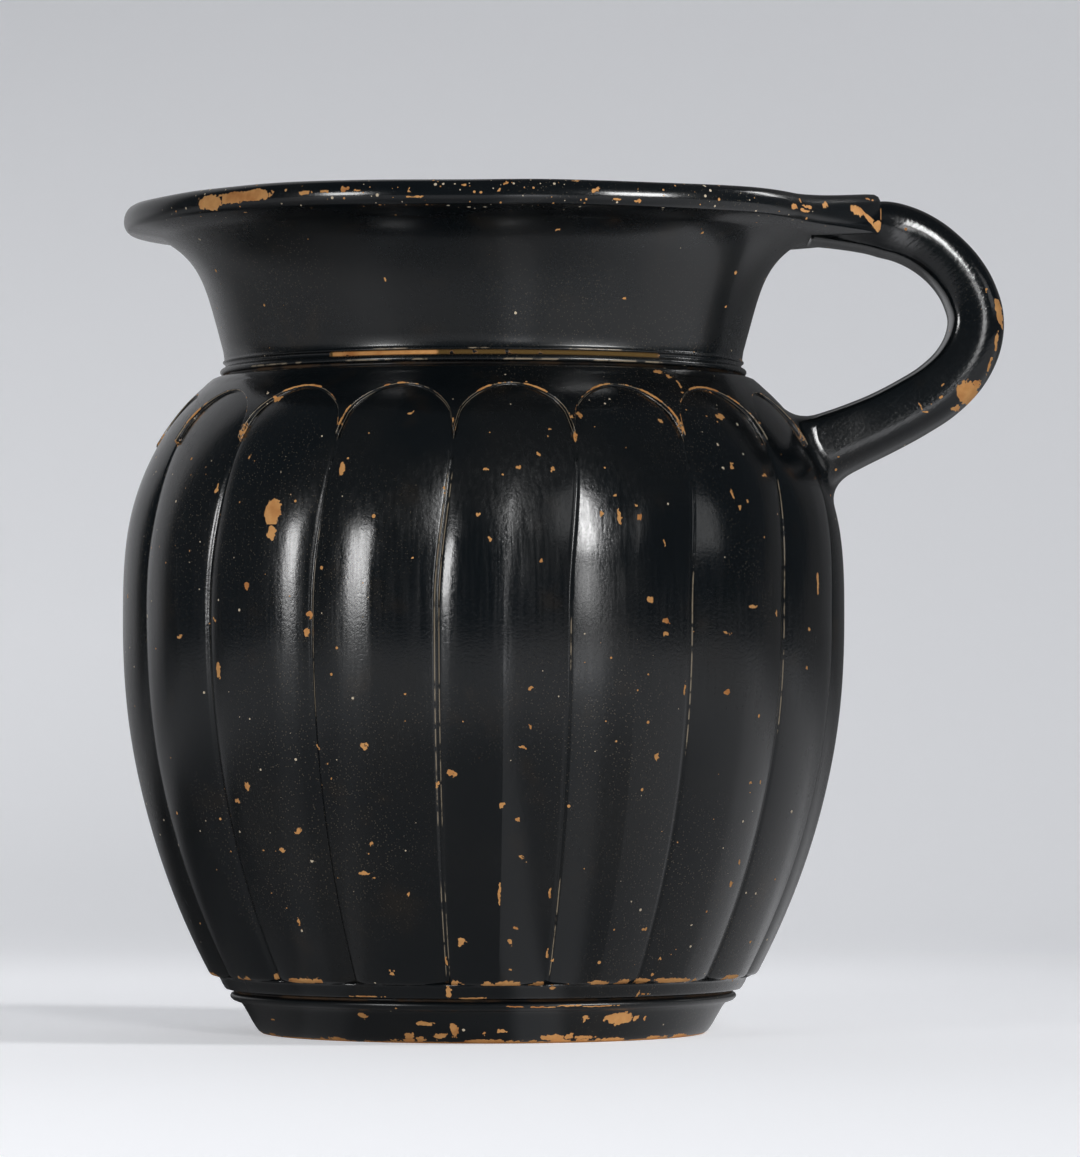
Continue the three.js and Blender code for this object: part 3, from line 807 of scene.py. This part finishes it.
for vertex in foot_shape.verts:
    radius = math.hypot(vertex.co.x, vertex.co.y)
    degrees = math.degrees(math.atan2(vertex.co.y, vertex.co.x))
    height = vertex.co.z
    resting = 1 if height < 0.2 and radius < 29.7 else 0
    vertex[reserved_layer] = resting
    lower_edge = math.exp(-((height - 0.3) / 0.42) ** 2) if radius > 29 else 0
    upper_edge = math.exp(-((height - 5.0) / 0.3) ** 2) if radius > 33 else 0
    wear = between(0.3, 0.95, in_stretches(worn_foot, degrees))
    vertex[worn_layer] = max(lower_edge * wear, upper_edge * 0.4)
    vertex.co = placed(radius, degrees, height)
foot_chips = (
    (33.8, 3.1, 5, 1.9), (38.9, 3, 1.5, 0.7), (24.3, 3.2, 1.2, 0.8), (41.5, 3, 0.6, 0.5),
    (-7, 1.9, 1.2, 2.2), (-14.3, 2.6, 2.6, 0.7), (-18.4, 1, 2.2, 1), (-10.7, 1, 2.4, 0.8),
    (7.5, 4.95, 3.5, 0.2), (13, 4.85, 4.2, 0.22), (19, 4.98, 4, 0.24), (26.5, 4.85, 5, 0.18),
    (17.5, 0.75, 4.6, 0.9), (21.5, 0.9, 1.8, 0.9), (25.5, 0.7, 3.2, 0.5), (-15.6, 0.6, 1.2, 0.9),
    (0.3, 1.3, 0.8, 0.6), (4.3, 1.7, 1.8, 0.4), (-29.2, 3.6, 1.5, 1), (-62, 2.4, 1.5, 0.3),
    (140, 2.6, 4.2, 1.7), (215, 3.4, 2.2, 1.1), (251, 1.6, 3, 1.2),
)
foot_gloss = black_gloss("foot_black_gloss", specks=0.1, wear=0.15, wheel_lines=0.8, dull=0.3)
foot = finished("foot_ring", foot_shape, foot_gloss, "foot", foot_chips, radius=32.0)


# Handle: a pulled bar of clay, oval in section, its upper end drawn out over the lip as a
# rounded spur and its lower end pressed and smoothed on to the shoulder.
handle_rows = 150
handle_flare = 0.28

# Stations along the bar: distance from the axis, height, thickness, width, in millimetres
handle_stations = [Vector(station) for station in (
    (43.5, 107.3, 4.2, 14.0), (47.0, 107.4, 5.2, 12.8), (50.3, 107.4, 6.2, 12.4),
    (53.3, 107.3, 7.4, 12.3), (56.2, 106.6, 7.5, 12.2), (58.9, 105.3, 7.4, 12.0),
    (61.2, 103.6, 7.3, 12.0), (63.2, 101.5, 7.3, 12.0), (64.8, 98.9, 7.3, 12.0),
    (65.8, 95.5, 7.4, 12.0), (65.4, 92.0, 7.7, 12.0), (63.6, 88.5, 8.0, 12.0),
    (60.8, 85.7, 8.2, 12.0), (57.2, 83.4, 8.3, 12.0), (53.2, 81.3, 8.4, 12.1),
    (49.4, 79.6, 8.8, 12.1), (45.6, 78.0, 9.4, 12.2), (42.0, 76.4, 9.8, 12.6),
)]

# Half of the section, from the middle of its inner face to the middle of its outer face, as
# shares of the half width and of the half thickness: flat inside, with a crisp edge
half_section = ((0, -1), (0.25, -0.99), (0.5, -0.96), (0.7, -0.92), (0.82, -0.88), (0.885, -0.825),
                (0.922, -0.75), (0.948, -0.62), (0.968, -0.44), (0.984, -0.25), (0.995, -0.07),
                (1, 0.1), (0.995, 0.25), (0.983, 0.4), (0.96, 0.55), (0.922, 0.68), (0.86, 0.79),
                (0.77, 0.88), (0.63, 0.945), (0.44, 0.98), (0.22, 0.995), (0, 1))
handle_section = (*half_section, *((-side, lift) for side, lift in half_section[-2:0:-1]))


def along(stations, share):
    """A place on the smooth line through the stations, with its thickness and width"""
    points = [2 * stations[0] - stations[1], *stations, 2 * stations[-1] - stations[-2]]
    at = share * (len(stations) - 1)
    first = min(int(at), len(stations) - 2)
    before, start, end, after = points[first:first + 4]
    step_in, step, step_out = (
        math.sqrt((second.xy - one.xy).length)
        for one, second in ((before, start), (start, end), (end, after))
    )
    leave = (start - before) / step_in - (end - before) / (step_in + step) + (end - start) / step
    arrive = (end - start) / step - (after - start) / (step + step_out) + (after - end) / step_out
    leave, arrive, t = leave * step, arrive * step, at - first
    curve = 2 * start - 2 * end + leave + arrive
    return start + t * (leave + t * (3 * end - 3 * start - 2 * leave - arrive + t * curve))


def handle_frame(share):
    """The middle of the bar at a share of its length, and the direction of its outer face"""
    centre = along(handle_stations, share)
    nudge = 0.002
    run = along(handle_stations, min(1, share + nudge)) - along(handle_stations, max(0, share - nudge))
    return centre, Vector((-run.y, run.x)).normalized()


def handle_point(share, side, lift):
    """A point on the skin of the bar"""
    centre, outward = handle_frame(share)
    under_lip = smooth_rise(-57, -45, -centre.x) if centre.y > 95 else 0
    flare = 1 + handle_flare * under_lip * smooth_rise(-0.95, 0.1, lift)
    off = lift * centre.z / 2
    point = Vector((
        axis.x + (centre.x + outward.x * off) * mm,
        axis.y - side * flare * centre.w / 2 * mm,
        (centre.y + outward.y * off) * mm,
    ))
    rough = 0.045 * noise.noise(point * 150) - 0.05
    return point + rough * mm * Vector((outward.x * lift, -side, outward.y * lift)).normalized()


handle_shape = blank(handle_rows, len(handle_section))
worn_layer = handle_shape.verts.layers.float.new("worn_edge")
for vertex in handle_shape.verts:
    row, turn, pole = row_and_turn(vertex)
    side, lift = handle_section[round(turn * len(handle_section)) % len(handle_section)]
    if pole:
        side, lift = 0, 0
    vertex.co = handle_point(row / (handle_rows - 1), side, lift)


# Chips: distance from the axis, height, width, height of the chip, turn in degrees
handle_chips = (
    (68.6, 95.9, 1.1, 4.6, 14), (68.2, 91.9, 0.5, 3.6, -10), (67.3, 88.9, 0.4, 3.0, -20),
    (64.4, 85.2, 3.6, 3.8, 30), (65.6, 86.3, 1.4, 1.2, 0), (62.9, 83.1, 1.3, 0.9, 20), (60.9, 86.2, 0.5, 0.3, 10), (60.6, 84.4, 0.6, 0.4, 20),
    (58.0, 83.4, 0.25, 1.6, 20), (58.6, 82.6, 0.7, 0.25, -10), (59.5, 83.6, 0.3, 0.2, 0),
    (58.2, 100.7, 0.35, 0.55, 0), (66.8, 98.8, 0.35, 0.5, 0), (47.2, 76.6, 0.3, 0.25, 0),
)
handle_gloss = black_gloss("handle_black_gloss", specks=0.05, wear=0.0, wheel_lines=0.1, dull=0.11,
                           grain=1.2, scratches=2.6)
handle = finished("strap_handle", handle_shape, handle_gloss, "handle", handle_chips)


# Slip of the handle's root: the joint is smoothed over with slip into a hollow curve from the
# bar to the ribbed wall, under the same gloss.
def body_surface(degrees, height):
    """Outer radius of the ribbed body at an angle and a height"""
    pitch = 360 / rib_count
    ribs = (degrees - rib_phase) / pitch
    for attempt in range(4):
        ribs += (degrees - rib_angle(ribs, height)) / pitch
    rib = math.floor(ribs)
    across = 2 * (ribs - rib) - 1
    over_arch = (height - arch_at(across)) / arch_stretch(across)
    inside = 1 - smooth_rise(-arch_edge_width, 0.02, over_arch)
    cut = rib_cut(across, height, rib) * inside
    return belly_radius_at(height) - cut + wobble(degrees, height) - hand_wobble


def turned(point):
    """The distance from the axis, angle from the front, and height of a point"""
    x, y, z = (point - axis) / mm
    return math.hypot(x, y), math.degrees(math.atan2(x, -y)), z


def off_body(point):
    radius, degrees, height = turned(point)
    return radius - body_surface(degrees, height)


root_rows = 9
root_shape = blank(root_rows + 5, len(handle_section))
root_shape.clear()
root_loops = []
for side, lift in handle_section:
    low, high = 0.72, 1.0
    for attempt in range(14):
        share = (low + high) / 2
        low, high = (share, high) if off_body(handle_point(share, side, lift)) > 0 else (low, share)
    meeting = handle_point(share, side, lift)
    reach = 1.6 + 2.2 * abs(lift) ** 2
    start_share = share
    while (handle_point(start_share, side, lift) - meeting).length < reach * mm:
        start_share -= 0.002
    start = handle_point(start_share, side, lift)
    centre, outward = handle_frame(share)
    away = Vector((0, -side * centre.w, 0)) + Vector((outward.x, 0, outward.y)) * lift * centre.z
    radius, degrees, height = turned(meeting + away.normalized() * reach * mm)
    end = placed(body_surface(degrees, height), degrees, height)
    middle = Vector((axis.x + centre.x * mm, axis.y, centre.y * mm))
    loop = []
    for step in range(root_rows):
        t = step / (root_rows - 1)
        loop.append((1 - t) ** 2 * start + 2 * t * (1 - t) * meeting + t * t * end)
    inwards = (middle - meeting).normalized() * mm
    loop.append(placed(body_surface(degrees, height) - 0.5, degrees, height))
    loop.append(meeting + inwards)
    loop.append(start + (middle - start).normalized() * 0.5 * mm)
    root_loops.append([root_shape.verts.new(place) for place in loop])
for loop, following in zip(root_loops, root_loops[1:] + root_loops[:1]):
    for step in range(len(loop)):
        after = (step + 1) % len(loop)
        root_shape.faces.new((loop[step], loop[after], following[after], following[step]))
for loop, following in zip(root_loops, root_loops[1:] + root_loops[:1]):
    for rim in (0, root_rows - 1):
        root_shape.edges.get((loop[rim], following[rim])).smooth = False
root_gloss = black_gloss("root_black_gloss", specks=0.05, wear=0.0, wheel_lines=0.1, dull=0.16,
                         grain=1.2, scratches=1.6)
handle_root = finished("handle_root_slip", root_shape, root_gloss, "handle_root_luting_slip")


# Slip under the lip: a thin layer between the lip and the strap, squeezed out along the end of
# the lip as a fine line of bare clay.
top_slip_line = []
top_slip_shape = bmesh.new()
bmesh.ops.create_cube(top_slip_shape, size=1)
for vertex in top_slip_shape.verts:
    x = 52.6 if vertex.co.x > 0 else 46.0
    z = 110.9 if vertex.co.z > 0 else 107.2
    vertex.co = Vector((axis.x + x * mm, axis.y + vertex.co.y * 2 * 5.6 * mm, z * mm))


# Luting slip: thin liquid clay that joins the neck and the foot to the body, in the two seams.
slip_clay = bpy.data.materials.new("luting_slip_clay")
slip_clay.use_nodes = True
nodes = Nodes(slip_clay.node_tree)
shader = slip_clay.node_tree.nodes["Principled BSDF"]
place = nodes.add("ShaderNodeTexCoord").outputs["Object"]
streaks = nodes.noise(place, 300, detail=5)
nodes.join(nodes.mix(nodes.fade(streaks, 0.42, 0.6), (0.012, 0.010, 0.009, 1), (0.08, 0.045, 0.022, 1)), shader.inputs["Base Color"])
nodes.join(nodes.fade(streaks, 0.42, 0.6, 0.4, 0.85), shader.inputs["Roughness"])
bump = nodes.add("ShaderNodeBump")
bump.inputs["Strength"].default_value = 0.4
bump.inputs["Distance"].default_value = 0.0001
nodes.join(nodes.noise(place, 1500), bump.inputs["Height"])
nodes.join(bump.outputs["Normal"], shader.inputs["Normal"])


def slip_ring(name, node, inner, outer, low, high):
    """A flat ring of slip with a rounded outer edge"""
    middle = (low + high) / 2
    profile = [(inner, low), (outer - 0.1, low), (outer, middle), (outer - 0.1, high), (inner, high)]
    shape = spun_shape([*profile, profile[0]], turned_columns)
    for vertex in shape.verts:
        radius = math.hypot(vertex.co.x, vertex.co.y)
        degrees = math.degrees(math.atan2(vertex.co.y, vertex.co.x))
        sway = 0.08 * noise.noise(Vector((9 * math.sin(math.radians(degrees)), 9 * math.cos(math.radians(degrees)), 1)))
        vertex.co = placed(radius + (sway if radius > inner + 1 else 0), degrees, vertex.co.z)
    return finished(name, shape, slip_clay, node)


slip_ring("neck_slip", "neck_luting_slip", mouth_radius, 34.9, shoulder_height, neck_bottom)
slip_ring("foot_slip", "foot_luting_slip", 24.2, 33.3, foot_high.z / mm, body_bottom)

bmesh.ops.bevel(top_slip_shape, geom=top_slip_shape.edges[:], offset=0.0008, segments=3,
                profile=0.5, affect="EDGES", material=-1)
finished("handle_top_slip", top_slip_shape, slip_clay, "handle_top_luting_slip")


# Studio: a pale table that sweeps up to a pale grey backdrop, and three soft lamps.
table_front = -0.95
table_back = 0.12
sweep_radius = 0.5
wall_top = 1.6
table_half_width = 1.3
sweep = bmesh.new()
line = [(table_front, 0.0), (-0.2, 0.0), (table_back, 0.0)]
for step in range(1, 13):
    turn = math.radians(90 * step / 12)
    line.append((table_back + sweep_radius * math.sin(turn), sweep_radius * (1 - math.cos(turn))))
line.append((table_back + sweep_radius, wall_top))
points = [sweep.verts.new((-table_half_width, y, z)) for y, z in line]
edges = [sweep.edges.new(pair) for pair in zip(points, points[1:])]
extruded = bmesh.ops.extrude_edge_only(sweep, edges=edges)
moved = [item for item in extruded["geom"] if isinstance(item, bmesh.types.BMVert)]
bmesh.ops.translate(sweep, verts=moved, vec=(2 * table_half_width, 0, 0))
bmesh.ops.recalc_face_normals(sweep, faces=sweep.faces[:])
if sweep.faces[0].normal.z < 0:
    bmesh.ops.reverse_faces(sweep, faces=sweep.faces[:])
sweep_mesh = bpy.data.meshes.new("table_and_backdrop")
sweep.to_mesh(sweep_mesh)
sweep.free()
sweep_mesh.shade_smooth()
paper = bpy.data.materials.new("pale_paper")
paper.use_nodes = True
nodes = Nodes(paper.node_tree)
shader = paper.node_tree.nodes["Principled BSDF"]
place = nodes.add("ShaderNodeSeparateXYZ")
nodes.join(nodes.add("ShaderNodeTexCoord").outputs["Object"], place.inputs[0])
ray = nodes.add("ShaderNodeLightPath")
glossy = ray.outputs["Is Glossy Ray"]
# In reflections the paper is painted dark, a painted shade, and its glow there paints what the vessel mirrors
nodes.join(nodes.mix(glossy, (0.79, 0.795, 0.82, 1), (0.12, 0.12, 0.122, 1)), shader.inputs["Base Color"])
shader.inputs["Roughness"].default_value = 0.9
shader.inputs["Specular IOR Level"].default_value = 0.1
# The glow seen by the camera paints the fall of light over table and backdrop: a painted light gradient, brighter in
# front and to the left and darker up the wall
glow = nodes.fade(place.outputs["Y"], -0.25, 0.02, 0.42, 0.37)
glow = nodes.fade(place.outputs["Y"], 0.13, 0.205, glow, 0.23)
glow = nodes.maths("MAXIMUM", nodes.maths("MULTIPLY_ADD", place.outputs["Z"], -1.0, glow), 0)
leftward = nodes.fade(place.outputs["X"], -0.2, 0.2, 0.14, -0.14)
leftward = nodes.maths("MULTIPLY", leftward, nodes.fade(place.outputs["Y"], 0.08, 0.2, 2.0, 3.4))
glow = nodes.maths("MULTIPLY", glow, nodes.maths("ADD", leftward, 1))
from_axis = nodes.maths("SUBTRACT", place.outputs["X"], axis.x)
around = nodes.maths("ARCTAN2", from_axis, nodes.maths("MULTIPLY", place.outputs["Y"], -1))
# The glow seen in reflections is painted reflection: brighter towards the right front and the far table, bright bands
# where the front and left lamps would mirror in a glossy table, and a pale patch to the back left
painted_reflection = nodes.maths("ADD", nodes.fade(around, -2.0, -0.9, 0.0, 0.1), nodes.fade(around, 0.1, 1.7, 0, 0.36))
painted_reflection = nodes.maths("MULTIPLY", painted_reflection, nodes.fade(around, 2.15, 2.6, 1, 0.5))
reach = nodes.maths("MULTIPLY", place.outputs["Y"], place.outputs["Y"])
reach = nodes.maths("SQRT", nodes.maths("MULTIPLY_ADD", from_axis, from_axis, reach))
far_table = nodes.maths("MULTIPLY", nodes.fade(reach, 0.13, 0.28, 0, 0.2), nodes.fade(around, 0.6, 1.2, 1, 0))
painted_reflection = nodes.maths("ADD", painted_reflection, far_table)
for middle, half_width, near, far in ((0.25, 0.11, 0.25, 1.5), (-0.8, 0.14, 0.06, 0.35)):
    off = nodes.maths("ABSOLUTE", nodes.maths("SUBTRACT", around, middle))
    strength = nodes.fade(reach, 0.25, 0.5, near, far)
    band = nodes.fade(off, half_width * 1.4, half_width * 0.6)
    painted_reflection = nodes.maths("MULTIPLY_ADD", band, strength, painted_reflection)
painted_reflection = nodes.maths("MULTIPLY", painted_reflection, nodes.fade(place.outputs["Y"], 0.35, 0.05))
left_wall = nodes.maths("MULTIPLY", nodes.fade(around, -1.95, -2.3, 0, 0.32), nodes.fade(place.outputs["Z"], -0.02, 0.08))
painted_reflection = nodes.maths("ADD", painted_reflection, left_wall)
glow = nodes.fade(glossy, 0, 1, nodes.maths("MULTIPLY", glow, ray.outputs["Is Camera Ray"]), painted_reflection)
nodes.join(glow, shader.inputs["Emission Strength"])
shader.inputs["Emission Color"].default_value = (0.965, 0.97, 1.0, 1)

# A camera behind or under the sheet looks through it
see_through = nodes.add("ShaderNodeMixShader")
from_behind = nodes.add("ShaderNodeNewGeometry").outputs["Backfacing"]
nodes.join(nodes.maths("MULTIPLY", from_behind, ray.outputs["Is Camera Ray"]), see_through.inputs[0])
nodes.join(shader.outputs[0], see_through.inputs[1])
nodes.join(nodes.add("ShaderNodeBsdfTransparent").outputs[0], see_through.inputs[2])
nodes.join(see_through.outputs[0], paper.node_tree.nodes["Material Output"].inputs["Surface"])
sweep_mesh.materials.append(paper)
backdrop = bpy.data.objects.new("table_and_backdrop", sweep_mesh)
bpy.context.scene.collection.objects.link(backdrop)


def softbox(name, degrees, distance, height, width, tall, radiance, lit=()):
    """A rectangular soft lamp at an angle from the front, facing the vessel, for some pieces or all"""
    lamp = bpy.data.lights.new(name, "AREA")
    lamp.shape = "RECTANGLE"
    lamp.size = width
    lamp.size_y = tall
    lamp.energy = radiance * width * tall * math.pi
    lamp_object = bpy.data.objects.new(name, lamp)
    angle = math.radians(degrees)
    where = Vector((axis.x + distance * math.sin(angle), -distance * math.cos(angle), height))
    aim = Vector((axis.x, 0, 0.06)) - where
    lamp_object.location = where
    lamp_object.rotation_euler = aim.to_track_quat("-Z", "Y").to_euler()
    bpy.context.scene.collection.objects.link(lamp_object)
    if lit:
        receivers = bpy.data.collections.new("lit_by_" + name)
        for receiver in lit:
            receivers.objects.link(receiver)
        lamp_object.light_linking.receiver_collection = receivers


# Each lamp is kept off the pieces that show no reflection of it
turned_pieces = (neck, foot)
ribs_and_handle = (body, handle, handle_root, backdrop)
softbox("left_softbox", -44, 1.3, 0.252, 0.3, 0.31, 13)
softbox("front_softbox", 14.5, 1.5, 0.59, 0.2, 0.44, 23, ribs_and_handle)
softbox("front_card", 14.5, 1.5, 0.175, 0.2, 0.2, 6, ribs_and_handle)
softbox("right_softbox", 52, 1.4, 0.5, 0.64, 0.33, 0.9)
softbox("lip_softbox", 49, 1.4, 0.36, 0.52, 0.34, 20, turned_pieces)
softbox("side_softbox", 114, 1.4, 0.9, 0.3, 0.4, 9, turned_pieces)
softbox("table_softbox", 66, 1.3, 1.1, 0.25, 0.25, 54, (backdrop,))

world = bpy.data.worlds.new("studio_room")
world.use_nodes = True
nodes = Nodes(world.node_tree)
seen = nodes.add("ShaderNodeLightPath").outputs["Is Camera Ray"]
room = nodes.mix(seen, (0.054, 0.062, 0.07, 1), (0.56, 0.565, 0.59, 1))
nodes.join(room, world.node_tree.nodes["Background"].inputs["Color"])
bpy.context.scene.world = world

camera = bpy.data.cameras.new("camera")
camera.sensor_width = 36
camera.lens = 192.3
camera_object = bpy.data.objects.new("camera", camera)
camera_object.location = (axis.x, axis.y - 0.8256, 0.0409)
camera_object.rotation_euler = (math.radians(90 + 1.364), 0, math.radians(-0.525))
bpy.context.scene.collection.objects.link(camera_object)
bpy.context.scene.camera = camera_object
bpy.context.scene.view_settings.view_transform = "Standard"
